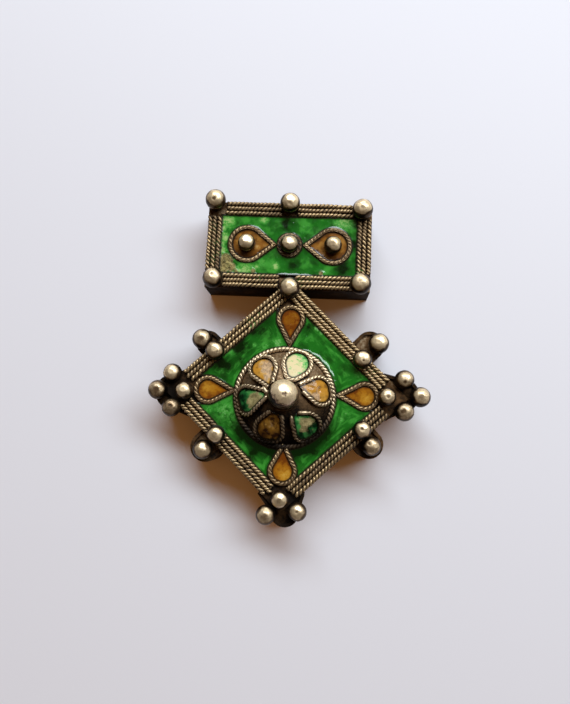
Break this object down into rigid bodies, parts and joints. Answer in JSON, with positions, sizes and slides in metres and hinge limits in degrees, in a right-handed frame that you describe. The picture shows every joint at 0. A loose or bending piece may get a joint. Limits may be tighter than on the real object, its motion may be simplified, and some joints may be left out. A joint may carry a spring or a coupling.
{
  "type": "cross pendant",
  "caption": "Enamelled silver cross pendant of the Berber kind: a rectangular box on a lozenge box, with wire rows, silver balls and a domed boss; a cord runs through the upper box.",
  "frame": {"origin": "middle of the back, on the surface it lies on", "axes": "+Z out of the enamelled face, +Y from the lozenge to the rectangular box, +X to the right seen from the face"},
  "size_m": [0.051, 0.0614, 0.0159],
  "materials": {
    "silver": "old tarnished silver, dark in the recesses",
    "green_enamel": "glossy green enamel, uneven",
    "yellow_enamel": "yellow enamel, worn",
    "orange_enamel": "glossy orange-brown enamel",
    "petal_green_enamel": "green enamel, worn down to the ground in places"
  },
  "bodies": {
    "root": {"upper_box": "silver", "lozenge_box": "silver", "boss": "silver", "upper_field_enamel": "green_enamel", "upper_drop_left_enamel": "yellow_enamel", "upper_drop_right_enamel": "yellow_enamel", "lozenge_enamel_1": "green_enamel", "lozenge_enamel_2": "green_enamel", "lozenge_enamel_3": "green_enamel", "lozenge_enamel_4": "green_enamel", "drop_top_enamel": "orange_enamel", "drop_right_enamel": "orange_enamel", "drop_bottom_enamel": "orange_enamel", "drop_left_enamel": "orange_enamel", "petal_enamel_1": "yellow_enamel", "petal_enamel_2": "petal_green_enamel", "petal_enamel_3": "yellow_enamel", "petal_enamel_4": "petal_green_enamel", "petal_enamel_5": "yellow_enamel", "petal_enamel_6": "petal_green_enamel"}
  },
  "joints": []
}
